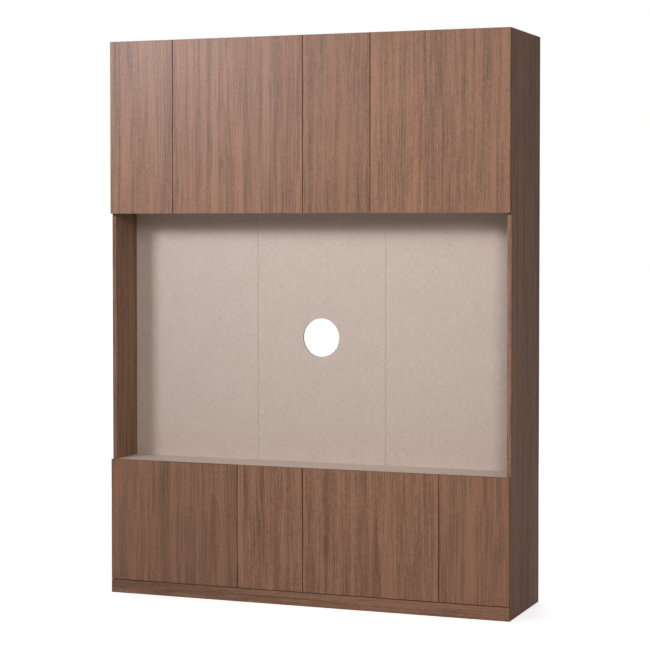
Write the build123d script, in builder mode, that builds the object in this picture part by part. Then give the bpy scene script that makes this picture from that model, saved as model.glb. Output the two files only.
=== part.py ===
from build123d import *
from collections import namedtuple
import os

os.makedirs("parts", exist_ok=True)

# Door grid and overall size, the depth taken from the door fronts to the rear edges
narrow_door_pitch = 300.0
wide_door_pitch = 600.0
cabinet_depth = 460.0
cabinet_height = 2400.0

# Heights above the floor, and the recess for the screen
plinth_height = 57.0
plinth_gap = 3.0
niche_floor_height = 584.0
niche_height = 1073.0
niche_depth = 217.0
upper_door_lip = 2.0

# Boards
board = 18.0
door_thickness = 18.0
plinth_thickness = 18.0
niche_back_thickness = 9.0
back_thickness = 4.0
edge_softening = 0.5

# Gaps between doors, carcass and loose boards
door_gap = 3.0
side_reveal = 1.0
bumper_gap = 2.0
board_fit = 0.5
seam_gap = 1.0
running_gap = 0.3
screw_fit = 0.1
pivot_fit = 0.1
cut_overrun = 1.0

# Rear grooves, wall rail and base
back_inset = 18.0
groove_depth = 6.0
wall_rail_height = 80.0
wall_hole_spacing = 1200.0
wall_hole_radius = 3.0
wall_access_radius = 5.0
rail_thickness = 18.0

# Supports behind the niche, and the cable hole
side_batten_width = 40.0
upright_depth = 190.0
cable_hole_diameter = 165.0
cable_hole_rise = 538.0

# Shelves and their pins
shelf_setback = 34.0
shelf_side_gap = 1.0
shelf_rear_gap = 2.0
pin_radius = 2.5
pin_depth = 8.0
pin_tab_reach = 7.0
pin_tab_width = 8.0
pin_tab_drop = 1.0
pin_front_inset = 57.0
pin_rear_inset = 60.0
pin_pitch = 32.0
pin_rows = 5

# Cam locks and their bolts
cam_radius = 7.5
cam_length = 12.5
cam_inset = 34.0
cam_front_inset = 60.0
cam_rear_inset = 90.0
cam_slot_depth = 2.0
bolt_radius = 3.0
bolt_thread_length = 11.0
bolt_head_radius = 3.6
bolt_head_length = 4.0

# Concealed hinges: cup in the door
hinge_inset = 100.0
cup_radius = 17.5
cup_wall = 1.0
cup_depth = 11.5
cup_floor = 1.0
cup_centre_inset = 22.5
cup_rim = 1.0
flange_thickness = 1.0
flange_width = 24.0
flange_height = 62.0
flange_shift = 3.0
flange_corner = 4.0
flange_screw_pitch = 48.0
flange_screw_radius = 1.75
flange_screw_length = 12.0
flange_head_radius = 3.2
flange_head_height = 0.7
ear_thickness = 1.8
ear_reach = 3.0

# Concealed hinges: pivots, link and arm
cup_pivot_inset = 10.2
cup_pivot_depth = 6.7
arm_pivot_inset = 42.0
arm_pivot_setback = 19.5
elbow_reach = 9.0
elbow_drop = 2.1
link_thickness = 2.6
link_half_width = 5.5
cup_pin_radius = 1.0
cup_eye_radius = 2.0
arm_pin_radius = 1.3
arm_eye_radius = 2.6
cheek_gap = 0.5
cheek_thickness = 1.5
nose_radius = 4.5
arm_length = 46.0
arm_channel_depth = 15.0
arm_web_start = 6.0

# Concealed hinges: plate under the arm
plate_length = 40.0
plate_front_inset = 27.0
plate_base_width = 16.0
plate_base_height = 2.5
plate_rail_gap = 0.2
wing_length = 52.0
wing_width = 16.0
plate_screw_inset = 37.0
plate_screw_pitch = 32.0
plate_screw_radius = 2.5
plate_screw_depth = 8.0
plate_head_radius = 4.2
plate_head_height = 1.5

# Push latches, strike plates and bumpers
latch_inset = 45.0
latch_width = 12.0
latch_length = 68.0
latch_bore_depth = 62.0
latch_flange_width = 26.0
latch_flange_thickness = 2.5
latch_flange_length = 44.0
latch_screw_pitch = 28.0
latch_screw_shift = 9.5
latch_screw_radius = 1.75
plunger_radius = 4.0
plunger_length = 60.0
plunger_tip_softening = 0.6
strike_width = 14.0
strike_height = 24.0
strike_thickness = 1.0
bumper_radius = 4.0
bumper_inset = 25.0

# Places worked out from the sizes, in the cabinet's frame: X across, Y to the rear, Z up
half_width = narrow_door_pitch + wide_door_pitch
inner_half = half_width - board
door_front = -cabinet_depth / 2
door_back = door_front + door_thickness
carcass_front = door_back + bumper_gap
rear = cabinet_depth / 2
back_rear = rear - back_inset
back_front = back_rear - back_thickness
niche_face = door_front + niche_depth
niche_rear = niche_face + niche_back_thickness
upright_rear = niche_rear + upright_depth

lower_door_bottom = plinth_height + plinth_gap
lower_floor_top = lower_door_bottom + board
lower_roof = niche_floor_height - board
niche_roof = niche_floor_height + niche_height
upper_floor_top = niche_roof + board
upper_door_bottom = niche_roof - upper_door_lip
upper_roof = cabinet_height - board
seam_x = inner_half / 3
half_board = board / 2

link_cheek_inner = link_half_width + cheek_gap
arm_top_inset = arm_pivot_inset + nose_radius
arm_web_under = arm_top_inset - cheek_thickness


# A cuboid between two corners, added to or cut from the piece being built
def block(low, high, mode=Mode.ADD):
    sizes = [end - start for start, end in zip(low, high)]
    with Locations(low):
        Box(*sizes, align=(Align.MIN, Align.MIN, Align.MIN), mode=mode)


# A round bar or bore that starts at a point and runs along a direction
def rod(start, direction, radius, length, mode=Mode.ADD):
    with BuildSketch(Plane(origin=start, z_dir=direction)) as disc:
        Circle(radius)
    extrude(disc.sketch, amount=length, mode=mode)


# Labels a finished piece and writes its file
def keep(piece, name):
    piece.label = name
    export_step(piece, f"parts/{name}.step")


# Writes alike pieces, each a solid of its own, as one group
def keep_group(pieces, name):
    keep(Compound(children=[solid for piece in pieces for solid in piece.solids()]), name)


# The doors of one row, numbered from the left: odd ones hang at their left edge,
# even ones at their right edge, so each pair meets at its free edges
Door = namedtuple("Door", "name left right bottom top edge free inward wall")


def row_of_doors(row, pitches, bottom, top):
    walls = (-inner_half, -half_board, half_board, inner_half)
    doors = []
    start = -half_width
    for number, pitch in enumerate(pitches):
        end = start + pitch
        left = start + (side_reveal if number == 0 else door_gap / 2)
        right = end - (side_reveal if number == len(pitches) - 1 else door_gap / 2)
        hangs_left = number % 2 == 0
        edge, free = (left, right) if hangs_left else (right, left)
        inward = 1 if hangs_left else -1
        name = f"{row}_{number + 1}"
        doors.append(Door(name, left, right, bottom, top, edge, free, inward, walls[number]))
        start = end
    return doors


upper_pitches = (narrow_door_pitch, wide_door_pitch, narrow_door_pitch, wide_door_pitch)
lower_pitches = (wide_door_pitch, narrow_door_pitch, wide_door_pitch, narrow_door_pitch)
upper_doors = row_of_doors("upper", upper_pitches, upper_door_bottom, cabinet_height)
lower_doors = row_of_doors("lower", lower_pitches, lower_door_bottom, niche_floor_height)
all_doors = upper_doors + lower_doors


# Heights of a door's two hinges
def hinge_heights(door):
    return (door.bottom + hinge_inset, door.top - hinge_inset)


# The plane across a hinge: its x runs inward from the door's hinge edge, its y to the rear
def hinge_plane(door, height):
    origin = (door.edge, door_front, height)
    return Plane(origin=origin, x_dir=(door.inward, 0, 0), z_dir=(0, 0, door.inward))


# A hinge's points on that plane
cup_pivot = (cup_pivot_inset, door_thickness - cup_pivot_depth)
elbow = (cup_pivot_inset + elbow_reach, cup_pivot[1] - elbow_drop)
carcass_front_depth = door_thickness + bumper_gap
arm_pivot = (arm_pivot_inset, carcass_front_depth + arm_pivot_setback)

# Heights of the shelf pins in each compartment, the middle row carrying the shelf
upper_pin_height = (upper_floor_top + upper_roof) / 2
lower_pin_height = (lower_floor_top + lower_roof) / 2
pin_columns = (carcass_front + pin_front_inset, back_front - pin_rear_inset)
cam_columns = (carcass_front + cam_front_inset, back_front - cam_rear_inset)
cam_x = inner_half - cam_inset

# Horizontal boards held by cam locks: the height of the underside, whether the cams are let in
# from below, and whether the groove for the rear panels is in the upper face
cam_boards = {
    "top_panel": (upper_roof, True, False),
    "upper_floor_panel": (niche_roof, False, True),
    "lower_top_panel": (lower_roof, True, False),
    "lower_bottom_panel": (lower_door_bottom, True, True),
}


# Two columns of bores for shelf pins in the face of a wall, going into it along a direction
def pin_bores(face_x, direction, middle):
    front_column, rear_column = pin_columns
    centre = (face_x, (front_column + rear_column) / 2, middle)
    with BuildSketch(Plane(origin=centre, x_dir=(0, 1, 0), z_dir=(direction, 0, 0))) as bores:
        with GridLocations(rear_column - front_column, pin_pitch, 2, pin_rows):
            Circle(pin_radius + screw_fit)
    extrude(bores.sketch, amount=pin_depth + screw_fit, mode=Mode.SUBTRACT)


# Bores for the screws of the hinge plates that sit on one wall
def plate_screw_bores(doors, face_x, direction):
    for door in doors:
        for height in hinge_heights(door):
            for side in (-1, 1):
                start = (face_x, carcass_front + plate_screw_inset, height + side * plate_screw_pitch / 2)
                rod(start, (direction, 0, 0), plate_screw_radius + screw_fit,
                    plate_screw_depth + screw_fit, Mode.SUBTRACT)


# Full-height side panels, from the floor to the top
for side, name in ((-1, "left"), (1, "right")):
    inner_x = side * inner_half
    outer_x = side * half_width
    hung_here = [door for door in all_doors if door.wall == inner_x]
    with BuildPart() as side_panel:
        low_x, high_x = sorted((inner_x, outer_x))
        block((low_x, carcass_front, 0), (high_x, rear, cabinet_height))
        chamfer(side_panel.edges().filter_by(Axis.Z), edge_softening)
        groove_x = sorted((inner_x - side * cut_overrun, inner_x + side * groove_depth))
        block((groove_x[0], back_front - board_fit / 2, -cut_overrun),
              (groove_x[1], back_rear + board_fit / 2, cabinet_height + cut_overrun), Mode.SUBTRACT)
        for middle in (upper_pin_height, lower_pin_height):
            pin_bores(inner_x, side, middle)
        plate_screw_bores(hung_here, inner_x, side)
        for underside, _, _ in cam_boards.values():
            for column in cam_columns:
                rod((inner_x, column, underside + half_board), (side, 0, 0),
                    bolt_radius + screw_fit, bolt_thread_length + screw_fit, Mode.SUBTRACT)
    keep(side_panel.part, f"side_panel_{name}")

# Horizontal boards between the side panels, with the groove in the face that the compartment has
for name, (underside, faces_down, grooved_above) in cam_boards.items():
    with BuildPart() as cross_board:
        block((-inner_half, carcass_front, underside), (inner_half, rear, underside + board))
        if grooved_above:
            groove_z = (underside + board - groove_depth, underside + board + cut_overrun)
        else:
            groove_z = (underside - cut_overrun, underside + groove_depth)
        block((-inner_half - cut_overrun, back_front - board_fit / 2, groove_z[0]),
              (inner_half + cut_overrun, back_rear + board_fit / 2, groove_z[1]), Mode.SUBTRACT)
        cam_start = underside if faces_down else underside + board
        cam_direction = (0, 0, 1) if faces_down else (0, 0, -1)
        for side in (-1, 1):
            for column in cam_columns:
                rod((side * cam_x, column, cam_start), cam_direction,
                    cam_radius + screw_fit, cam_length + screw_fit, Mode.SUBTRACT)
                rod((side * (inner_half + cut_overrun), column, underside + half_board), (-side, 0, 0),
                    bolt_head_radius + screw_fit, cam_inset + cut_overrun, Mode.SUBTRACT)
    keep(cross_board.part, name)

# Centre dividers, which carry the inner doors of each row on both faces
divider_spans = {
    "upper_divider": (upper_floor_top, upper_roof, upper_doors, upper_pin_height),
    "lower_divider": (lower_floor_top, lower_roof, lower_doors, lower_pin_height),
}
for name, (bottom, top, doors, middle) in divider_spans.items():
    with BuildPart() as divider:
        block((-half_board, carcass_front, bottom), (half_board, back_front, top))
        for side in (-1, 1):
            face_x = side * half_board
            pin_bores(face_x, -side, middle)
            plate_screw_bores([door for door in doors if door.wall == face_x], face_x, -side)
    keep(divider.part, name)

# Thin rear panels in the grooves, two behind each row of doors, meeting behind the divider.
# The upper ones have holes for reaching the wall screws
groove_reach = groove_depth - board_fit
wall_screw_height = upper_roof - wall_rail_height / 2
back_panels = []
for bottom, top in ((upper_floor_top, upper_roof), (lower_floor_top, lower_roof)):
    for side in (-1, 1):
        low_x, high_x = sorted((side * seam_gap / 2, side * (inner_half + groove_reach)))
        with BuildPart() as back_panel:
            block((low_x, back_front, bottom - groove_reach), (high_x, back_rear, top + groove_reach))
            if bottom == upper_floor_top:
                rod((side * wall_hole_spacing / 2, back_front - cut_overrun, wall_screw_height), (0, 1, 0),
                    wall_access_radius, back_thickness + 2 * cut_overrun, Mode.SUBTRACT)
        back_panels.append(back_panel.part)
keep_group(back_panels, "back_panels")

# Rail behind the upper rear panels, screwed to the wall through two holes
with BuildPart() as wall_rail:
    block((-inner_half, back_rear + board_fit, upper_roof - wall_rail_height), (inner_half, rear, upper_roof))
    for side in (-1, 1):
        rod((side * wall_hole_spacing / 2, back_rear - cut_overrun, wall_screw_height), (0, 1, 0),
            wall_hole_radius, back_inset + 2 * cut_overrun, Mode.SUBTRACT)
keep(wall_rail.part, "wall_rail")

# Loose shelves, one in each compartment, lying on the tabs of four pins
shelf_rows = (("upper", upper_pin_height), ("lower", lower_pin_height))
for row, middle in shelf_rows:
    for side, name in ((-1, "left"), (1, "right")):
        low_x, high_x = sorted((side * (half_board + shelf_side_gap), side * (inner_half - shelf_side_gap)))
        with BuildPart() as shelf:
            block((low_x, carcass_front + shelf_setback, middle + pin_radius),
                  (high_x, back_front - shelf_rear_gap, middle + pin_radius + board))
            front_face = shelf.faces().sort_by(Axis.Y)[0]
            chamfer(front_face.edges().filter_by(Axis.X), edge_softening)
        keep(shelf.part, f"{row}_shelf_{name}")


# One shelf pin in a wall face: a round shank in the wall and a flat tab under the shelf
def make_shelf_pin(face_x, outward, column, middle):
    low_x, high_x = sorted((face_x, face_x + outward * pin_tab_reach))
    with BuildPart() as shelf_pin:
        rod((face_x, column, middle), (-outward, 0, 0), pin_radius, pin_depth)
        block((low_x, column - pin_tab_width / 2, middle - pin_tab_drop),
              (high_x, column + pin_tab_width / 2, middle + pin_radius))
    return shelf_pin.part


shelf_pins = []
for row, middle in shelf_rows:
    for column in pin_columns:
        for side in (-1, 1):
            shelf_pins.append(make_shelf_pin(side * inner_half, -side, column, middle))
            shelf_pins.append(make_shelf_pin(side * half_board, side, column, middle))
keep_group(shelf_pins, "shelf_pins")


# A slotted cam disc in a horizontal board, with a bore in its side for the bolt's head
def make_cam_lock(side, column, underside, faces_down):
    start_z = underside if faces_down else underside + board
    slot_low = start_z if faces_down else start_z - cam_slot_depth
    bore_length = cam_radius + cut_overrun + cam_slot_depth
    with BuildPart() as cam_lock:
        rod((side * cam_x, column, start_z), (0, 0, 1 if faces_down else -1), cam_radius, cam_length)
        rod((side * (cam_x + cam_radius + cut_overrun), column, underside + half_board), (-side, 0, 0),
            bolt_head_radius + screw_fit, bore_length, Mode.SUBTRACT)
        block((side * cam_x - cam_radius, column - cam_slot_depth / 2, slot_low),
              (side * cam_x + cam_radius, column + cam_slot_depth / 2, slot_low + cam_slot_depth),
              Mode.SUBTRACT)
    return cam_lock.part


# The bolt that a cam draws out of the side panel
def make_cam_bolt(side, column, level):
    with BuildPart() as cam_bolt:
        rod((side * (inner_half + bolt_thread_length), column, level), (-side, 0, 0),
            bolt_radius, bolt_thread_length + cam_inset)
        rod((side * cam_x, column, level), (side, 0, 0), bolt_head_radius, bolt_head_length)
    return cam_bolt.part


cam_locks = []
cam_bolts = []
for underside, faces_down, _ in cam_boards.values():
    for side in (-1, 1):
        for column in cam_columns:
            cam_locks.append(make_cam_lock(side, column, underside, faces_down))
            cam_bolts.append(make_cam_bolt(side, column, underside + half_board))
keep_group(cam_locks, "cam_locks")
keep_group(cam_bolts, "cam_bolts")

# Niche rear panels: three equal boards, the middle one with the round cable hole
seams = (-inner_half, -seam_x, seam_x, inner_half)
for number, name in enumerate(("left", "middle", "right")):
    low_x = seams[number] + (board_fit if number == 0 else seam_gap / 2)
    high_x = seams[number + 1] - (board_fit if number == 2 else seam_gap / 2)
    with BuildPart() as niche_back:
        block((low_x, niche_face, niche_floor_height), (high_x, niche_rear, niche_roof - board_fit))
        front_face = niche_back.faces().sort_by(Axis.Y)[0]
        chamfer(front_face.edges().filter_by(Axis.Z), edge_softening)
        if name == "middle":
            rod((0, niche_face - cut_overrun, niche_floor_height + cable_hole_rise), (0, 1, 0),
                cable_hole_diameter / 2, niche_back_thickness + 2 * cut_overrun, Mode.SUBTRACT)
    keep(niche_back.part, f"niche_back_{name}")

# Uprights behind the niche seams, which carry the upper cabinet, and battens on the side panels
niche_supports = []
for side in (-1, 1):
    with BuildPart() as upright:
        block((side * seam_x - half_board, niche_rear, niche_floor_height),
              (side * seam_x + half_board, upright_rear, niche_roof))
    low_x, high_x = sorted((side * inner_half, side * (inner_half - side_batten_width)))
    with BuildPart() as side_batten:
        block((low_x, niche_rear, niche_floor_height), (high_x, niche_rear + rail_thickness, niche_roof))
    niche_supports += [upright.part, side_batten.part]
keep_group(niche_supports, "niche_supports")

# Plinth board across the front, and the rails and bearer under the lower floor
with BuildPart() as plinth_board:
    block((-half_width, carcass_front - plinth_thickness, 0), (half_width, carcass_front, plinth_height))
    front_face = plinth_board.faces().sort_by(Axis.Y)[0]
    chamfer(front_face.edges(), edge_softening)
keep(plinth_board.part, "plinth_board")

with BuildPart() as front_rail:
    block((-inner_half, carcass_front, 0), (inner_half, carcass_front + rail_thickness, lower_door_bottom))
with BuildPart() as rear_rail:
    block((-inner_half, back_front - rail_thickness, 0), (inner_half, back_front, lower_door_bottom))
with BuildPart() as bearer:
    block((-half_board, carcass_front + rail_thickness, 0),
          (half_board, back_front - rail_thickness, lower_door_bottom))
keep_group([front_rail.part, rear_rail.part, bearer.part], "base_rails")


# A channel arm over its plate, with two cheeks that hold the link's rear pin
def make_hinge_arm(door, height):
    plane = hinge_plane(door, height)
    channel_bottom = arm_top_inset - arm_channel_depth
    arm_end = arm_pivot[1] + arm_length
    web_start = arm_pivot[1] + arm_web_start
    half_channel = link_cheek_inner + cheek_thickness
    with BuildPart() as arm:
        for side in (-1, 1):
            with BuildSketch(plane.offset(side * link_cheek_inner)) as cheek:
                with Locations(arm_pivot):
                    Circle(nose_radius)
                with BuildLine():
                    Polyline((arm_top_inset, arm_pivot[1]), (arm_top_inset, arm_end),
                             (channel_bottom, arm_end), (channel_bottom, arm_end - arm_length / 2),
                             (arm_pivot[0] - nose_radius, arm_pivot[1]), close=True)
                make_face()
            extrude(cheek.sketch, amount=side * cheek_thickness)
        with BuildSketch(plane) as web:
            with BuildLine():
                Polyline((arm_web_under, web_start), (arm_web_under, arm_end),
                         (arm_top_inset, arm_end), (arm_top_inset, web_start), close=True)
            make_face()
        extrude(web.sketch, amount=half_channel, both=True)
        with BuildSketch(plane) as pin:
            with Locations(arm_pivot):
                Circle(arm_pin_radius)
        extrude(pin.sketch, amount=half_channel, both=True)
    return arm.part


# A cross-shaped plate on the wall, with a rail that fills the arm's channel
def make_hinge_plate(door, height):
    inward = door.inward
    plate_start = carcass_front + plate_front_inset
    screw_y = carcass_front + plate_screw_inset
    base_x = sorted((door.wall, door.wall + inward * plate_base_height))
    rail_x = sorted((door.wall, door.edge + inward * arm_web_under))
    half_rail = link_cheek_inner - plate_rail_gap
    with BuildPart() as plate:
        block((base_x[0], plate_start, height - plate_base_width / 2),
              (base_x[1], plate_start + plate_length, height + plate_base_width / 2))
        block((rail_x[0], plate_start, height - half_rail),
              (rail_x[1], plate_start + plate_length, height + half_rail))
        block((base_x[0], screw_y - wing_width / 2, height - wing_length / 2),
              (base_x[1], screw_y + wing_width / 2, height + wing_length / 2))
        for side in (-1, 1):
            start = (door.wall - inward * cut_overrun, screw_y, height + side * plate_screw_pitch / 2)
            rod(start, (inward, 0, 0), plate_screw_radius + screw_fit,
                plate_base_height + 2 * cut_overrun, Mode.SUBTRACT)
    return plate.part


# The link bar: an eye at each end and an elbow that clears the rim of the cup
def make_hinge_link(door, height):
    with BuildPart() as link:
        with BuildSketch(hinge_plane(door, height)) as bar:
            with BuildLine() as centre_line:
                Polyline(cup_pivot, elbow, arm_pivot)
            trace(centre_line.line, line_width=link_thickness)
            with Locations(elbow):
                Circle(link_thickness / 2)
            with Locations(cup_pivot):
                Circle(cup_eye_radius)
            with Locations(arm_pivot):
                Circle(arm_eye_radius)
            with Locations(cup_pivot):
                Circle(cup_pin_radius + pivot_fit, mode=Mode.SUBTRACT)
            with Locations(arm_pivot):
                Circle(arm_pin_radius + pivot_fit, mode=Mode.SUBTRACT)
        extrude(amount=link_half_width, both=True)
    return link.part


# A steel cup let into the door's back, with its screw flange and the link's front pin
def make_hinge_cup(door, height):
    centre_x = door.edge + door.inward * cup_centre_inset
    flange_x = centre_x + door.inward * flange_shift
    mouth_y = door_back + flange_thickness
    mouth = Plane(origin=(centre_x, mouth_y, height), x_dir=(1, 0, 0), z_dir=(0, -1, 0))
    plane = hinge_plane(door, height)
    ear_low = door_thickness - cup_depth
    with BuildPart() as cup:
        with BuildSketch(mouth):
            Circle(cup_radius + cup_rim)
            with Locations((door.inward * flange_shift, 0)):
                RectangleRounded(flange_width, flange_height, flange_corner)
        extrude(amount=flange_thickness)
        rod((centre_x, door_back, height), (0, -1, 0), cup_radius, cup_depth)
        rod((centre_x, mouth_y + cut_overrun, height), (0, -1, 0), cup_radius - cup_wall,
            cup_depth + flange_thickness + cut_overrun - cup_floor, Mode.SUBTRACT)
        for side in (-1, 1):
            with BuildSketch(plane.offset(side * link_cheek_inner)) as ear:
                with BuildLine():
                    Polyline((cup_pivot[0] - ear_reach, ear_low), (cup_pivot[0] + ear_reach, ear_low),
                             (cup_pivot[0] + ear_reach, cup_pivot[1]),
                             (cup_pivot[0], cup_pivot[1] + ear_reach),
                             (cup_pivot[0] - ear_reach, cup_pivot[1] + ear_reach), close=True)
                make_face()
            extrude(ear.sketch, amount=side * ear_thickness)
            rod((flange_x, door_back - cut_overrun, height + side * flange_screw_pitch / 2), (0, 1, 0),
                flange_screw_radius + screw_fit, flange_thickness + 2 * cut_overrun, Mode.SUBTRACT)
        with BuildSketch(plane) as pin:
            with Locations(cup_pivot):
                Circle(cup_pin_radius)
        extrude(pin.sketch, amount=link_cheek_inner + ear_thickness, both=True)
    return cup.part


# A screw with a flat head: the head lies on the seat, the shank goes on from there
def make_screw(seat, direction, radius, length, head_radius, head_height):
    with BuildPart() as screw:
        rod(seat, direction, radius, length)
        rod(seat, tuple(-along for along in direction), head_radius, head_height)
    return screw.part


# Places of a cup's two screws, of a door's latch and of its two bumpers
def cup_screw_places(door, height):
    place_x = door.edge + door.inward * (cup_centre_inset + flange_shift)
    return [(place_x, height + side * flange_screw_pitch / 2) for side in (-1, 1)]


def latch_place(door):
    place_x = door.free - door.inward * latch_inset
    if door in upper_doors:
        return place_x, upper_floor_top + latch_width / 2, 1
    return place_x, lower_roof - latch_width / 2, -1


def bumper_places(door):
    place_x = door.free - door.inward * bumper_inset
    if door in upper_doors:
        levels = (upper_floor_top - half_board, upper_roof + half_board)
    else:
        levels = (lower_floor_top - half_board, lower_roof + half_board)
    return [(place_x, level) for level in levels]


# A push latch housing: a bored block on a screw flange against the board beside it
def make_latch_housing(door):
    latch_x, latch_z, up = latch_place(door)
    half_latch = latch_width / 2
    flange_z = sorted((latch_z - up * half_latch, latch_z - up * (half_latch - latch_flange_thickness)))
    flange_start = carcass_front + (latch_length - latch_flange_length) / 2
    middle_y = carcass_front + latch_length / 2
    with BuildPart() as housing:
        block((latch_x - half_latch, carcass_front, latch_z - half_latch),
              (latch_x + half_latch, carcass_front + latch_length, latch_z + half_latch))
        block((latch_x - latch_flange_width / 2, flange_start, flange_z[0]),
              (latch_x + latch_flange_width / 2, flange_start + latch_flange_length, flange_z[1]))
        rod((latch_x, carcass_front - cut_overrun, latch_z), (0, 1, 0),
            plunger_radius + pivot_fit, latch_bore_depth + cut_overrun, Mode.SUBTRACT)
        for side in (-1, 1):
            start = (latch_x + side * latch_screw_shift, middle_y + side * latch_screw_pitch / 2,
                     latch_z - up * (half_latch + cut_overrun))
            rod(start, (0, 0, up), latch_screw_radius + screw_fit,
                latch_flange_thickness + 2 * cut_overrun, Mode.SUBTRACT)
    return housing.part


# Carcass halves of all the hinges, with their screws, and all the latch housings
hinges = [(door, height) for door in all_doors for height in hinge_heights(door)]
keep_group([make_hinge_arm(door, height) for door, height in hinges], "hinge_arms")
keep_group([make_hinge_plate(door, height) for door, height in hinges], "hinge_plates")
keep_group([make_latch_housing(door) for door in all_doors], "latch_housings")

plate_screws = []
for door, height in hinges:
    for side in (-1, 1):
        seat = (door.wall + door.inward * plate_base_height, carcass_front + plate_screw_inset,
                height + side * plate_screw_pitch / 2)
        plate_screws.append(make_screw(seat, (-door.inward, 0, 0), plate_screw_radius,
                                       plate_base_height + plate_screw_depth,
                                       plate_head_radius, plate_head_height))
keep_group(plate_screws, "plate_screws")

# The eight doors and what rides on each or moves with it
strike_y = door_back + strike_thickness
for door in all_doors:
    with BuildPart() as panel:
        block((door.left, door_front, door.bottom), (door.right, door_back, door.top))
        chamfer(panel.faces().sort_by(Axis.Y)[0].edges(), edge_softening)
        centre_x = door.edge + door.inward * cup_centre_inset
        for height in hinge_heights(door):
            rod((centre_x, door_back, height), (0, -1, 0), cup_radius + screw_fit,
                cup_depth + screw_fit, Mode.SUBTRACT)
            for place_x, place_z in cup_screw_places(door, height):
                rod((place_x, door_back, place_z), (0, -1, 0), flange_screw_radius + screw_fit,
                    flange_screw_length, Mode.SUBTRACT)
    keep(panel.part, f"door_{door.name}")

    # Cups with their screws, a strike plate for the latch and two bumpers
    fittings = []
    for height in hinge_heights(door):
        fittings.append(make_hinge_cup(door, height))
        for place_x, place_z in cup_screw_places(door, height):
            fittings.append(make_screw((place_x, door_back + flange_thickness, place_z), (0, -1, 0),
                                       flange_screw_radius, flange_screw_length,
                                       flange_head_radius, flange_head_height))
    latch_x, latch_z, up = latch_place(door)
    with BuildPart() as strike_plate:
        block((latch_x - strike_width / 2, door_back, latch_z - strike_height / 2),
              (latch_x + strike_width / 2, strike_y, latch_z + strike_height / 2))
    fittings.append(strike_plate.part)
    for place_x, place_z in bumper_places(door):
        with BuildPart() as bumper:
            rod((place_x, door_back, place_z), (0, 1, 0), bumper_radius, bumper_gap - running_gap)
        fittings.append(bumper.part)
    keep_group(fittings, f"fittings_{door.name}")

    keep_group([make_hinge_link(door, height) for height in hinge_heights(door)], f"hinge_links_{door.name}")

    with BuildPart() as plunger:
        rod((latch_x, strike_y + running_gap, latch_z), (0, 1, 0), plunger_radius, plunger_length)
        chamfer(plunger.faces().sort_by(Axis.Y)[0].edges(), plunger_tip_softening)
    keep(plunger.part, f"plunger_{door.name}")
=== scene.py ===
"""TV cabinet in walnut-effect board: the finish of every piece, a pale floor, soft light and the view."""
import math

import bpy
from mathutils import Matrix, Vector


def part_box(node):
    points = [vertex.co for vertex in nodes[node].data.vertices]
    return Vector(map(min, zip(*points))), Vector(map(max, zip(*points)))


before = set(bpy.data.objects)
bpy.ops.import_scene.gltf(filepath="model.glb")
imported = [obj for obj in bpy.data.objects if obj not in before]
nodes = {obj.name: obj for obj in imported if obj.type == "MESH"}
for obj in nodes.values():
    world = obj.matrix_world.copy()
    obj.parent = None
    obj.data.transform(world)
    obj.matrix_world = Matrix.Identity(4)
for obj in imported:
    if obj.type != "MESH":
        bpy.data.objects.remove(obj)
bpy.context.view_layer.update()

# Millimetres, for sizes that are easier to read that way
MM = 0.001

# Camera, fitted to the edges of the cabinet in the photograph, with lengths in metres,
# the lens and sensor in millimetres and the shift as a share of the picture's width
CAMERA_PLACE = (3.0170, -7.8091, 1.6075)
CAMERA_TURN = math.radians(21.043)
CAMERA_TILT = math.radians(1.75)
CAMERA_LENS = 107.84
CAMERA_SHIFT = -0.0629
SENSOR_WIDTH = 36.0

# Doors of a row, from the left
ROWS = ("upper", "lower")
DOORS_IN_ROW = 4
DOOR_NAMES = [f"{row}_{number}" for row in ROWS for number in range(1, DOORS_IN_ROW + 1)]

# Where a Mix node keeps its two values and its result, for each kind of data
MIX_SOCKETS = {"FLOAT": (2, 3, 0), "VECTOR": (4, 5, 1), "RGBA": (6, 7, 2)}

# How squarely a face looks along an axis: its normal's part on that axis
HALFWAY = 0.5
MAINLY = 0.7
SQUARELY = 0.9


# An sRGB colour from 0 to 255 as Blender's linear colour
def srgb(red, green, blue):
    def linear(value):
        share = value / 255
        return share / 12.92 if share <= 0.04045 else ((share + 0.055) / 1.055) ** 2.4
    return (linear(red), linear(green), linear(blue), 1.0)


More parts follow.
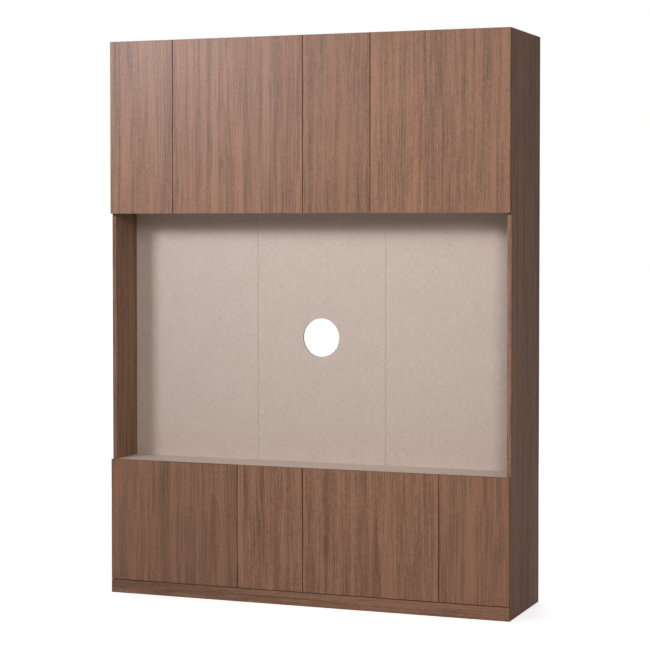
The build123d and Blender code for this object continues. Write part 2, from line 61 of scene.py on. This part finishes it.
# A node tree with one short call for each kind of node that the finishes use
class Tree:
    def __init__(self, tree):
        self.tree = tree

    def node(self, kind, **settings):
        made = self.tree.nodes.new("ShaderNode" + kind)
        for name, value in settings.items():
            setattr(made, name, value)
        return made

    def feed(self, socket, value):
        if isinstance(value, bpy.types.NodeSocket):
            self.tree.links.new(value, socket)
        else:
            socket.default_value = value

    def math(self, operation, *values):
        made = self.node("Math", operation=operation)
        for socket, value in zip(made.inputs, values):
            self.feed(socket, value)
        return made.outputs[0]

    # A smooth step from 0 at one value to 1 at the other
    def step(self, value, start, end):
        made = self.node("MapRange", interpolation_type="SMOOTHSTEP")
        self.feed(made.inputs["Value"], value)
        made.inputs["From Min"].default_value = start
        made.inputs["From Max"].default_value = end
        return made.outputs["Result"]

    # Mixes two values of one kind: the first at a share of 0, the second at 1
    def mix_kind(self, kind, share, first, second, way="MIX"):
        made = self.node("Mix", data_type=kind, blend_type=way)
        first_socket, second_socket, result = MIX_SOCKETS[kind]
        self.feed(made.inputs[0], share)
        self.feed(made.inputs[first_socket], first)
        self.feed(made.inputs[second_socket], second)
        return made.outputs[result]

    def mix(self, share, first, second):
        return self.mix_kind("RGBA", share, first, second)

    def mix_numbers(self, share, first, second):
        return self.mix_kind("FLOAT", share, first, second)

    def mix_places(self, share, first, second):
        return self.mix_kind("VECTOR", share, first, second)

    # Multiplies a colour by a tint, by a share
    def tint(self, share, colour, tint):
        return self.mix_kind("RGBA", share, colour, tint, "MULTIPLY")

    def split(self, place):
        made = self.node("SeparateXYZ")
        self.feed(made.inputs[0], place)
        return list(made.outputs)

    def join(self, across, depth, along):
        made = self.node("CombineXYZ")
        for socket, value in zip(made.inputs, (across, depth, along)):
            self.feed(socket, value)
        return made.outputs[0]

    # The shaded point in the piece's own axes, which stay with a door as it swings
    def place(self):
        return self.node("TexCoord").outputs["Object"]

    # The three parts of the face's normal in the same axes
    def facing(self):
        return self.split(self.node("TexCoord").outputs["Normal"])

    # Whether one part of the normal is past a limit, to either side
    def looks_along(self, part, limit):
        return self.math("GREATER_THAN", self.math("ABSOLUTE", part), limit)

    # Noise with its own number of features in a metre along each axis
    def noise(self, place, rates, detail=2.0, roughness=0.5, shift=(0.0, 0.0, 0.0)):
        mapping = self.node("Mapping")
        self.feed(mapping.inputs["Vector"], place)
        mapping.inputs["Scale"].default_value = rates
        mapping.inputs["Location"].default_value = shift
        made = self.node("TexNoise")
        self.feed(made.inputs["Vector"], mapping.outputs[0])
        made.inputs["Scale"].default_value = 1.0
        made.inputs["Detail"].default_value = detail
        made.inputs["Roughness"].default_value = roughness
        return made.outputs["Fac"]

    # Noise drawn out along the grain
    def grain(self, place, rate_across, rate_along, **settings):
        return self.noise(place, (rate_across, rate_across, rate_along), **settings)

    # Noise that is the same in every direction
    def even(self, place, rate, **settings):
        return self.noise(place, (rate, rate, rate), **settings)

    # Adds weighted deviations from one half to a level
    def blend(self, level, *weighted):
        for weight, value in weighted:
            part = self.math("MULTIPLY_ADD", value, weight, -weight / 2)
            level = self.math("ADD", level, part)
        return level

    def bump(self, height, distance):
        made = self.node("Bump")
        made.inputs["Distance"].default_value = distance
        self.feed(made.inputs["Height"], height)
        return made.outputs[0]


def new_material(name, **constants):
    material = bpy.data.materials.new(name)
    material.use_nodes = True
    tree = Tree(material.node_tree)
    surface = material.node_tree.nodes["Principled BSDF"]
    for socket, value in constants.items():
        surface.inputs[socket.replace("_", " ")].default_value = value
    return material, tree, surface


# Gives a surface its colour, its roughness and a relief of some depth
def coat(tree, surface, colour, roughness, relief, depth):
    tree.feed(surface.inputs["Base Color"], colour)
    tree.feed(surface.inputs["Roughness"], roughness)
    tree.feed(surface.inputs["Normal"], tree.bump(relief, depth))


def dress(material, *names):
    for name in names:
        for slot in nodes[name].material_slots:
            slot.link = "OBJECT"
            slot.material = material


# Walnut effect: straight fine grain with tone bands, dark wavy streaks and faint arched rings
WALNUT_DARK = srgb(97, 66, 49)
WALNUT_MIDDLE = srgb(127, 90, 69)
WALNUT_LIGHT = srgb(156, 110, 84)
GREY_CAST = (0.93, 1.005, 1.06, 1.0)
WALNUT_RELIEF = 0.05 * MM

# How far the grain wanders from side to side, and how far a streak sways within it
GRAIN_WANDER = 30 * MM
STREAK_SWAY = 14 * MM

# Arched rings: half the distance between two hearts, the rounding of an arch's tip,
# the rings' lean along the board, their ripple and their number in a metre
HEART_SPAN = 270 * MM
ARCH_ROUNDING = 50 * MM
RING_LEAN = 0.035
RING_RIPPLE = 30 * MM
RINGS_IN_METRE = 95.0


# Dark streaks that waver more than the grain and taper off
def dark_streaks(tree, place, across, depth, along):
    sway = tree.grain(place, 9.0, 6.0, detail=1.0, shift=(0.6, 4.3, 7.7))
    swaying = tree.join(tree.math("MULTIPLY_ADD", sway, STREAK_SWAY, across), depth, along)
    streaks = tree.grain(swaying, 75.0, 2.6, detail=1.0, shift=(7.3, 1.9, 4.1))
    patches = tree.grain(place, 7.0, 1.5, detail=1.0, shift=(8.6, 3.1, 5.9))
    return tree.math("MULTIPLY", tree.step(streaks, 0.50, 0.74), tree.step(patches, 0.42, 0.66))


# Thin light lines, long and in loose groups
def light_lines(tree, place, flow):
    lines = tree.grain(flow, 165.0, 0.9, detail=1.0, shift=(2.9, 6.6, 0.8))
    patches = tree.grain(place, 11.0, 1.1, detail=1.0, shift=(4.1, 9.4, 2.3))
    return tree.math("MULTIPLY", tree.step(lines, 0.54, 0.72), tree.step(patches, 0.46, 0.62))


# Arched rings, where the saw met the growth rings flat
def arched_rings(tree, place, across, along):
    from_heart = tree.math("PINGPONG", across, HEART_SPAN)
    squared = tree.math("MULTIPLY_ADD", from_heart, from_heart, ARCH_ROUNDING ** 2)
    lean = tree.math("MULTIPLY", along, RING_LEAN)
    ripple = tree.math("MULTIPLY", tree.grain(place, 7.0, 2.6, detail=3.0), RING_RIPPLE)
    phase = tree.math("ADD", tree.math("ADD", tree.math("SQRT", squared), lean), ripple)
    ring = tree.math("FRACT", tree.math("MULTIPLY", phase, RINGS_IN_METRE))
    patches = tree.grain(place, 5.0, 1.6, detail=1.0, shift=(2.0, 6.0, 8.0))
    return tree.math("MULTIPLY", tree.step(ring, 0.30, 0.97), tree.step(patches, 0.46, 0.64))


def walnut_group():
    group = bpy.data.node_groups.new("walnut_grain", "ShaderNodeTree")
    group.interface.new_socket("Place", in_out="INPUT", socket_type="NodeSocketVector")
    group.interface.new_socket("Colour", in_out="OUTPUT", socket_type="NodeSocketColor")
    group.interface.new_socket("Roughness", in_out="OUTPUT", socket_type="NodeSocketFloat")
    group.interface.new_socket("Height", in_out="OUTPUT", socket_type="NodeSocketFloat")
    tree = Tree(group)
    place = group.nodes.new("NodeGroupInput").outputs["Place"]
    across, depth, along = tree.split(place)

    # The grain wanders a little from side to side
    drift = tree.grain(place, 2.5, 0.9)
    wander = tree.math("MULTIPLY_ADD", drift, GRAIN_WANDER, -GRAIN_WANDER / 2)
    across = tree.math("ADD", across, wander)
    flow = tree.join(across, depth, along)

    # Bands, lines and fibres, from the widest to the finest
    bands = tree.grain(flow, 22.0, 0.6)
    mottle = tree.grain(flow, 36.0, 9.0, roughness=0.6, shift=(1.2, 8.8, 3.3))
    broad_lines = tree.grain(flow, 52.0, 1.1, shift=(4.4, 2.6, 9.1))
    lines = tree.grain(flow, 140.0, 2.2, detail=1.0)
    fibres = tree.grain(flow, 300.0, 4.5, roughness=0.6)
    flecks = tree.grain(flow, 330.0, 70.0, roughness=0.6, shift=(5.5, 0.7, 6.2))
    pores = tree.step(tree.grain(flow, 1000.0, 38.0, detail=1.0), 0.58, 0.70)

    rings = arched_rings(tree, place, across, along)
    streaks = dark_streaks(tree, place, across, depth, along)
    glints = light_lines(tree, place, flow)
    tone = tree.blend(0.62, (1.25, bands), (1.15, broad_lines), (0.85, lines), (2.4, fibres),
                      (0.4, mottle), (1.8, flecks), (-0.33, rings))
    for weight, marks in ((-0.36, streaks), (0.65, glints), (-0.16, pores)):
        tone = tree.math("MULTIPLY_ADD", marks, weight, tone)

    dark_side = tree.mix(tree.step(tone, -0.1, 0.5), WALNUT_DARK, WALNUT_MIDDLE)
    colour = tree.mix(tree.step(tone, 0.5, 1.1), dark_side, WALNUT_LIGHT)
    cast = tree.grain(flow, 26.0, 0.9, shift=(3.7, 8.2, 0.6))
    colour = tree.tint(tree.step(cast, 0.15, 0.85), colour, GREY_CAST)

    out = group.nodes.new("NodeGroupOutput")
    tree.feed(out.inputs["Colour"], colour)
    tree.feed(out.inputs["Roughness"], tree.blend(0.42, (0.10, fibres), (-0.05, bands)))
    height = tree.math("SUBTRACT", tree.math("MULTIPLY", fibres, 0.5), pores)
    tree.feed(out.inputs["Height"], height)
    return group


# A board's axes in the order across, through and along its grain. On the end faces, which
# look along the grain, the second order turns it to run along the edge.
DOOR_AXES = ("xyz", "zyx")
SIDE_AXES = ("yxz", "zxy")
PLINTH_AXES = ("zyx", "xyz")


def grain_place(tree, axes, shift):
    face_order, end_order = axes
    places = dict(zip("xyz", tree.split(tree.place())))
    normal = dict(zip("xyz", tree.facing()))
    on_face = tree.join(*(places[name] for name in face_order))
    on_end = tree.join(*(places[name] for name in end_order))
    is_end = tree.looks_along(normal[face_order[-1]], MAINLY)
    moved = tree.node("VectorMath", operation="ADD")
    tree.feed(moved.inputs[0], tree.mix_places(is_end, on_face, on_end))
    moved.inputs[1].default_value = shift
    return moved.outputs[0]


# The edging tape on the narrow faces is duller than the faces. The tints are those of the face towards a
# board's own positive axis, of the opposite face and of the narrow faces. On the doors' and the plinth's
# narrow faces the tint is painted shade, and on the right panel's narrow faces a painted highlight. On
# the side panels, the inner faces and the left panel's narrow faces have a painted grey sheen, and the
# outer faces painted shade with a grey sheen.
def walnut(name, group, axes, shift, gloss, tints):
    material, tree, surface = new_material(name, Specular_IOR_Level=gloss)
    grain = tree.node("Group", node_tree=group)
    tree.feed(grain.inputs["Place"], grain_place(tree, axes, shift))
    positive_tint, negative_tint, edge_painted_light = tints
    face_order = axes[0]
    through = dict(zip("xyz", tree.facing()))[face_order[1]]
    is_face = tree.looks_along(through, SQUARELY)
    face_tint = tree.mix(tree.math("GREATER_THAN", through, 0.0), negative_tint, positive_tint)
    tint = tree.mix(is_face, edge_painted_light, face_tint)
    colour = tree.tint(1.0, grain.outputs["Colour"], tint)
    is_edge = tree.math("SUBTRACT", 1.0, is_face)
    roughness = tree.math("MAXIMUM", grain.outputs["Roughness"], is_edge)
    coat(tree, surface, colour, roughness, grain.outputs["Height"], WALNUT_RELIEF)
    return material


# Gloss and tints of the walnut boards
DOOR_GLOSS = 0.29
WALL_GLOSS = 0.15
SIDE_GLOSS = 0.012
DOOR_TONES = (1.0, 1.0, 0.88, 1.0, 0.92, 1.06, 1.04, 0.98)
# Narrow faces of the doors and the plinth: darker and cooler, painted shade in the gaps between the doors
EDGE_PAINTED_SHADE = (0.70, 0.76, 0.82, 1.0)
PLINTH_FACE = (0.93, 0.94, 0.93, 1.0)
# Inner faces of the side panels: greyer and a little lighter, a painted grey sheen
WALL_INSIDE_PAINTED_SHEEN = (0.95, 1.10, 1.20, 1.0)
# Left panel's narrow faces: greyer, a painted grey sheen
WALL_EDGE_PAINTED_SHEEN = (0.90, 1.00, 1.08, 1.0)
# Outer faces of the side panels: darker and greyer, painted shade with a grey sheen
SIDE_OUTSIDE_SHADE_AND_SHEEN = (0.85, 0.90, 0.96, 1.0)
# Right panel's narrow faces: lighter and cooler, a painted highlight on its front edge
SIDE_EDGE_PAINTED_HIGHLIGHT = (1.15, 1.29, 1.42, 1.0)

# Where each board was cut from the pattern: the step from door to door, and the others' places
DOOR_STEP = (0.37, 0.21, 1.3)
LEFT_PLACE = (5.1, 0.4, 2.2)
RIGHT_PLACE = (6.3, 0.9, 1.9)
PLINTH_PLACE = (11.6, 0.5, 6.7)


def dress_walnut():
    group = walnut_group()
    for count, (door, tone) in enumerate(zip(DOOR_NAMES, DOOR_TONES)):
        shift = [step * count for step in DOOR_STEP]
        face = (tone, tone, tone, 1.0)
        dress(walnut(f"walnut_door_{door}", group, DOOR_AXES, shift, DOOR_GLOSS,
                     (face, face, EDGE_PAINTED_SHADE)), f"door_{door}")
    dress(walnut("walnut_side_left", group, SIDE_AXES, LEFT_PLACE, WALL_GLOSS,
                 (WALL_INSIDE_PAINTED_SHEEN, SIDE_OUTSIDE_SHADE_AND_SHEEN, WALL_EDGE_PAINTED_SHEEN)), "side_panel_left")
    dress(walnut("walnut_side_right", group, SIDE_AXES, RIGHT_PLACE, SIDE_GLOSS,
                 (SIDE_OUTSIDE_SHADE_AND_SHEEN, WALL_INSIDE_PAINTED_SHEEN, SIDE_EDGE_PAINTED_HIGHLIGHT)), "side_panel_right")
    dress(walnut("walnut_plinth", group, PLINTH_AXES, PLINTH_PLACE, DOOR_GLOSS,
                 (PLINTH_FACE, PLINTH_FACE, EDGE_PAINTED_SHADE)), "plinth_board")


# Linen effect: crossed slub threads, seen on every face of the board
LINEN_DARK = srgb(175, 155, 142)
LINEN = srgb(199, 181, 169)
LINEN_LIGHT = srgb(215, 199, 188)
# Paler colour on the narrow faces of the niche's back: painted light that lifts the shade in the seams
# between its boards
SEAM_PAINTED_LIGHT = srgb(224, 211, 201)
LINEN_RELIEF = 0.08 * MM

# Features in a metre along a thread, across it and through the board
THREAD_LONG = 45.0
THREAD_ACROSS = 900.0
THREAD_THROUGH = 3.0

# The cable hole: its rise above the boards' foot, a reach just beyond its rim, and the bare board of its
# wall, darkened with painted shade
HOLE_RISE = 538 * MM
HOLE_REACH = 90 * MM
HOLE_WALL_BARE_AND_SHADED = srgb(112, 86, 67)

# Boards in linen effect all over, and the niche's back
LINEN_NODES = ("top_panel", "upper_floor_panel", "upper_divider", "lower_top_panel",
               "lower_bottom_panel", "lower_divider", "upper_shelf_left", "upper_shelf_right",
               "lower_shelf_left", "lower_shelf_right")
NICHE_BACKS = ("niche_back_left", "niche_back_middle", "niche_back_right")


# Coordinates in the plane of the face: the first two numbers lie in it
def face_plane(tree):
    x, y, z = tree.split(tree.place())
    side, _, flat = tree.facing()
    looks_sideways = tree.looks_along(side, MAINLY)
    looks_up = tree.looks_along(flat, MAINLY)
    upright = tree.mix_places(looks_sideways, tree.join(x, z, y), tree.join(y, z, x))
    return tree.mix_places(looks_up, upright, tree.join(x, y, z))


# The narrow faces of the niche's back get a paler colour, painted light that lifts the shade in the seams
# between the boards; the cable hole shows bare board darkened with painted shade
def seam_light_and_hole_shade(tree):
    x, _, z = tree.split(tree.place())
    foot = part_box("niche_back_middle")[0][2]
    rise = tree.math("SUBTRACT", z, foot + HOLE_RISE)
    from_hole = tree.math("SQRT", tree.math("MULTIPLY_ADD", x, x, tree.math("MULTIPLY", rise, rise)))
    return tree.mix(tree.math("LESS_THAN", from_hole, HOLE_REACH), SEAM_PAINTED_LIGHT, HOLE_WALL_BARE_AND_SHADED)


def linen(name, with_seam_light):
    material, tree, surface = new_material(name, Specular_IOR_Level=0.4)
    place = face_plane(tree)
    weft = tree.noise(place, (THREAD_LONG, THREAD_ACROSS, THREAD_THROUGH), roughness=0.6)
    warp = tree.noise(place, (THREAD_ACROSS, THREAD_LONG, THREAD_THROUGH), roughness=0.6)
    slub_weft = tree.noise(place, (16.0, 230.0, THREAD_THROUGH))
    slub_warp = tree.noise(place, (230.0, 12.0, THREAD_THROUGH))
    cloud = tree.noise(place, (9.0, 9.0, THREAD_THROUGH))
    tone = tree.blend(0.5, (1.4, weft), (1.4, warp), (0.35, slub_weft), (0.35, slub_warp),
                      (0.2, cloud))
    dark_side = tree.mix(tree.step(tone, 0.0, 0.5), LINEN_DARK, LINEN)
    colour = tree.mix(tree.step(tone, 0.5, 1.0), dark_side, LINEN_LIGHT)
    # On the niche's back: painted light on the narrow faces, painted shade in the cable hole
    if with_seam_light:
        _, front, _ = tree.facing()
        on_edge = tree.math("LESS_THAN", tree.math("ABSOLUTE", front), HALFWAY)
        colour = tree.mix(on_edge, colour, seam_light_and_hole_shade(tree))
    relief = tree.math("ADD", weft, warp)
    coat(tree, surface, colour, tree.blend(0.55, (0.12, weft)), relief, LINEN_RELIEF)
    return material


# Bare particle board: pressed flakes of mixed tone
BOARD_DARK = srgb(182, 144, 108)
BOARD_LIGHT = srgb(230, 200, 162)
BOARD_RELIEF = 0.25 * MM
FLAKES_IN_METRE = 420.0


def raw_board():
    material, tree, surface = new_material("bare_particle_board", Specular_IOR_Level=0.3)
    place = tree.place()
    flakes = tree.node("TexVoronoi")
    tree.feed(flakes.inputs["Vector"], place)
    flakes.inputs["Scale"].default_value = FLAKES_IN_METRE
    chip = tree.split(flakes.outputs["Color"])[0]
    fine = tree.even(place, 1500.0)
    cloud = tree.even(place, 25.0, detail=3.0)
    tone = tree.blend(0.5, (0.55, chip), (0.4, fine), (0.2, cloud))
    colour = tree.mix(tree.step(tone, 0.05, 0.95), BOARD_DARK, BOARD_LIGHT)
    relief = tree.blend(0.5, (0.6, chip), (0.6, fine))
    coat(tree, surface, colour, tree.blend(0.8, (0.15, fine)), relief, BOARD_RELIEF)
    return material


# Thin fibreboard: lacquered to match the linen inside, bare brown fibre behind
FIBRE_DARK = srgb(122, 90, 64)
FIBRE_LIGHT = srgb(166, 130, 98)
LACQUER_DARK = srgb(184, 166, 152)
LACQUER_LIGHT = srgb(204, 188, 176)
FIBRE_RELIEF = 0.12 * MM


def fibreboard():
    material, tree, surface = new_material("fibreboard", Specular_IOR_Level=0.4)
    place = tree.place()
    _, rear, _ = tree.facing()
    is_front = tree.math("LESS_THAN", rear, -HALFWAY)
    fibres = tree.even(place, 700.0, detail=4.0, roughness=0.7)
    cloud = tree.even(place, 14.0, detail=3.0)
    tone = tree.step(tree.blend(0.5, (0.9, fibres), (0.2, cloud)), 0.0, 1.0)
    bare = tree.mix(tone, FIBRE_DARK, FIBRE_LIGHT)
    lacquer = tree.mix(tone, LACQUER_DARK, LACQUER_LIGHT)
    colour = tree.mix(is_front, bare, lacquer)
    coat(tree, surface, colour, tree.blend(0.62, (0.2, fibres)), fibres, FIBRE_RELIEF)
    return material


# Nickel-plated steel pressings: their colour, roughness and fine rolling marks
STEEL_DARK = srgb(176, 174, 168)
STEEL_LIGHT = srgb(214, 212, 206)
STEEL_RELIEF = 0.01 * MM


def steel_look(tree, place):
    rolled = tree.noise(place, (300.0, 300.0, 4000.0))
    cloud = tree.even(place, 90.0, detail=3.0)
    tone = tree.blend(0.5, (0.4, rolled), (0.7, cloud))
    colour = tree.mix(tree.step(tone, 0.0, 1.0), STEEL_DARK, STEEL_LIGHT)
    return colour, tree.blend(0.3, (0.14, rolled), (0.1, cloud)), rolled


def plated_steel():
    material, tree, surface = new_material("plated_steel", Metallic=1.0)
    colour, roughness, rolled = steel_look(tree, tree.place())
    coat(tree, surface, colour, roughness, rolled, STEEL_RELIEF)
    return material


# A door's cups and strike plate in the same steel, and its two bumpers in matt grey rubber.
# The bumpers are the only fittings in a narrow column beside the door's free edge.
BUMPER_INSET = 25 * MM
BUMPER_COLUMN = 5 * MM
RUBBER_DARK = srgb(66, 65, 64)
RUBBER_LIGHT = srgb(92, 90, 88)


def door_fittings(door, opens_left):
    material, tree, surface = new_material(f"fittings_{door}")
    place = tree.place()
    steel, steel_roughness, rolled = steel_look(tree, place)
    speckle = tree.even(place, 1400.0)
    rubber = tree.mix(speckle, RUBBER_DARK, RUBBER_LIGHT)
    rubber_roughness = tree.blend(0.8, (0.15, speckle))
    low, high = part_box(f"door_{door}")
    column = low[0] + BUMPER_INSET if opens_left else high[0] - BUMPER_INSET
    across, _, _ = tree.split(place)
    from_column = tree.math("ABSOLUTE", tree.math("SUBTRACT", across, column))
    is_steel = tree.math("GREATER_THAN", from_column, BUMPER_COLUMN)
    tree.feed(surface.inputs["Metallic"], is_steel)
    colour = tree.mix(is_steel, rubber, steel)
    roughness = tree.mix_numbers(is_steel, rubber_roughness, steel_roughness)
    coat(tree, surface, colour, roughness, rolled, STEEL_RELIEF)
    return material


# Zinc castings: dull and faintly pitted
ZINC_DARK = srgb(138, 138, 140)
ZINC_LIGHT = srgb(182, 182, 184)
ZINC_RELIEF = 0.03 * MM


def cast_zinc():
    material, tree, surface = new_material("cast_zinc", Metallic=1.0)
    place = tree.place()
    pits = tree.even(place, 1800.0)
    cloud = tree.even(place, 150.0, detail=3.0)
    tone = tree.blend(0.5, (0.3, pits), (0.8, cloud))
    colour = tree.mix(tree.step(tone, 0.0, 1.0), ZINC_DARK, ZINC_LIGHT)
    coat(tree, surface, colour, tree.blend(0.5, (0.15, pits)), pits, ZINC_RELIEF)
    return material


# Moulded plastic with a fine spark-eroded grain: grey latch housings and white plungers
GREY_DARK = srgb(112, 113, 115)
GREY_LIGHT = srgb(134, 135, 137)
WHITE_DARK = srgb(206, 204, 198)
WHITE_LIGHT = srgb(224, 222, 217)
PLASTIC_RELIEF = 0.02 * MM


def plastic(name, dark, light):
    material, tree, surface = new_material(name, Specular_IOR_Level=0.45)
    place = tree.place()
    grain = tree.even(place, 2600.0)
    cloud = tree.even(place, 120.0)
    tone = tree.blend(0.5, (0.5, grain), (0.5, cloud))
    colour = tree.mix(tree.step(tone, 0.0, 1.0), dark, light)
    coat(tree, surface, colour, tree.blend(0.5, (0.12, grain)), grain, PLASTIC_RELIEF)
    return material


# Every second door of a row opens at its left edge
def dress_hardware():
    steel = plated_steel()
    dress(steel, "hinge_arms", "hinge_plates", "shelf_pins", "plate_screws", "cam_bolts")
    for count, door in enumerate(DOOR_NAMES):
        dress(steel, f"hinge_links_{door}")
        dress(door_fittings(door, count % 2 == 1), f"fittings_{door}")
    dress(cast_zinc(), "cam_locks")
    dress(plastic("grey_moulding", GREY_DARK, GREY_LIGHT), "latch_housings")
    white = plastic("white_moulding", WHITE_DARK, WHITE_LIGHT)
    dress(white, *(f"plunger_{door}" for door in DOOR_NAMES))


def dress_boards():
    dress_walnut()
    dress(linen("linen_effect", with_seam_light=False), *LINEN_NODES)
    dress(linen("linen_effect_back", with_seam_light=True), *NICHE_BACKS)
    dress(raw_board(), "niche_supports", "wall_rail", "base_rails")
    dress(fibreboard(), "back_panels")


# Rays that show the surroundings white: those to the eye and in gloss and glass
def seen_rays(tree):
    paths = tree.node("LightPath")
    seen = tree.math("MAXIMUM", paths.outputs["Is Camera Ray"], paths.outputs["Is Glossy Ray"])
    return tree.math("MAXIMUM", seen, paths.outputs["Is Transmission Ray"])


def put_in_scene(thing):
    bpy.context.scene.collection.objects.link(thing)


# Pale floor, white to the eye but for the cabinet's soft shadow, with a weaker glow near
# the cabinet than far from it
WHITE = (1, 1, 1, 1)
FLOOR_REACH = 60.0
FLOOR_TONE = (0.62, 0.62, 0.62, 1)
FLOOR_NEAR = 0.5
FLOOR_FAR = 6.0
FLOOR_GLOW_NEAR = 0.68
FLOOR_GLOW_FAR = 0.90


def make_floor():
    mesh = bpy.data.meshes.new("floor")
    corners = [(x * FLOOR_REACH, y * FLOOR_REACH, 0) for x, y in ((-1, -1), (1, -1), (1, 1), (-1, 1))]
    mesh.from_pydata(corners, [], [(0, 1, 2, 3)])
    floor = bpy.data.objects.new("floor", mesh)
    put_in_scene(floor)
    material, tree, surface = new_material("floor", Roughness=0.9, Specular_IOR_Level=0.1,
                                           Base_Color=FLOOR_TONE, Emission_Color=WHITE)
    length = tree.node("VectorMath", operation="LENGTH")
    tree.feed(length.inputs[0], tree.place())
    away = tree.step(length.outputs["Value"], FLOOR_NEAR, FLOOR_FAR)
    glow = tree.math("MULTIPLY_ADD", away, FLOOR_GLOW_FAR - FLOOR_GLOW_NEAR, FLOOR_GLOW_NEAR)
    tree.feed(surface.inputs["Emission Strength"], tree.math("MULTIPLY", seen_rays(tree), glow))
    mesh.materials.append(material)


# The surroundings: soft light, mostly from above and behind, and plain white to the eye
WORLD_LEVEL = 0.03
WORLD_BEHIND = 0.34
WORLD_ABOVE = 0.16


def make_world():
    world = bpy.data.worlds.new("studio")
    bpy.context.scene.world = world
    world.use_nodes = True
    tree = Tree(world.node_tree)
    soft = world.node_tree.nodes["Background"]
    soft.inputs["Color"].default_value = WHITE
    _, behind, above = tree.split(tree.node("TexCoord").outputs["Generated"])
    level = tree.math("MULTIPLY_ADD", tree.math("MAXIMUM", behind, 0.0), WORLD_BEHIND, WORLD_LEVEL)
    level = tree.math("MULTIPLY_ADD", tree.math("MAXIMUM", above, 0.0), WORLD_ABOVE, level)
    tree.feed(soft.inputs["Strength"], level)
    white = tree.node("Background")
    white.inputs["Color"].default_value = WHITE
    white.inputs["Strength"].default_value = 1.0
    choice = tree.node("MixShader")
    tree.feed(choice.inputs[0], seen_rays(tree))
    tree.feed(choice.inputs[1], soft.outputs[0])
    tree.feed(choice.inputs[2], white.outputs[0])
    tree.feed(world.node_tree.nodes["World Output"].inputs["Surface"], choice.outputs[0])


# A soft box light at one place, turned towards another, its power in watts and its spread
# in degrees
def soft_box(name, place, target, width, height, power, spread, tint):
    light = bpy.data.lights.new(name, "AREA")
    light.color = tint
    light.shape = "RECTANGLE"
    light.size = width
    light.size_y = height
    light.energy = power
    light.spread = math.radians(spread)
    lamp = bpy.data.objects.new(name, light)
    lamp.location = place
    lamp.rotation_euler = (Vector(target) - Vector(place)).to_track_quat("-Z", "Y").to_euler()
    put_in_scene(lamp)


COOL = (0.955, 0.985, 1.05)
WARM = (1.03, 1.0, 0.95)
NEUTRAL = (1.0, 1.0, 1.0)


# The key from the left and above, one box from the right, one over the front and one
# behind, which only lights the rear
def make_lights():
    soft_box("key", place=(-2.46, -3.6, 3.02), target=(-0.2, -0.23, 2.1),
             width=0.85, height=0.75, power=38.6, spread=108.0, tint=COOL)
    soft_box("right_fill", place=(2.7, -4.2, 2.75), target=(0.6, -0.23, 1.1),
             width=1.0, height=1.0, power=15.5, spread=82.0, tint=NEUTRAL)
    soft_box("over_front", place=(0.4, -3.6, 3.45), target=(0.3, -0.23, 1.5),
             width=2.0, height=1.2, power=14.0, spread=120.0, tint=WARM)
    soft_box("rear", place=(-1.0, 5.0, 2.6), target=(0.0, 0.23, 1.2),
             width=2.0, height=2.0, power=110.0, spread=180.0, tint=NEUTRAL)


def make_camera():
    camera = bpy.data.cameras.new("camera")
    camera.lens = CAMERA_LENS
    camera.sensor_width = SENSOR_WIDTH
    camera.shift_y = CAMERA_SHIFT
    view = bpy.data.objects.new("camera", camera)
    view.location = CAMERA_PLACE
    view.rotation_euler = (math.pi / 2 - CAMERA_TILT, 0, CAMERA_TURN)
    put_in_scene(view)
    bpy.context.scene.camera = view


dress_boards()
dress_hardware()
make_floor()
make_world()
make_lights()
make_camera()
bpy.context.scene.view_settings.view_transform = "Standard"
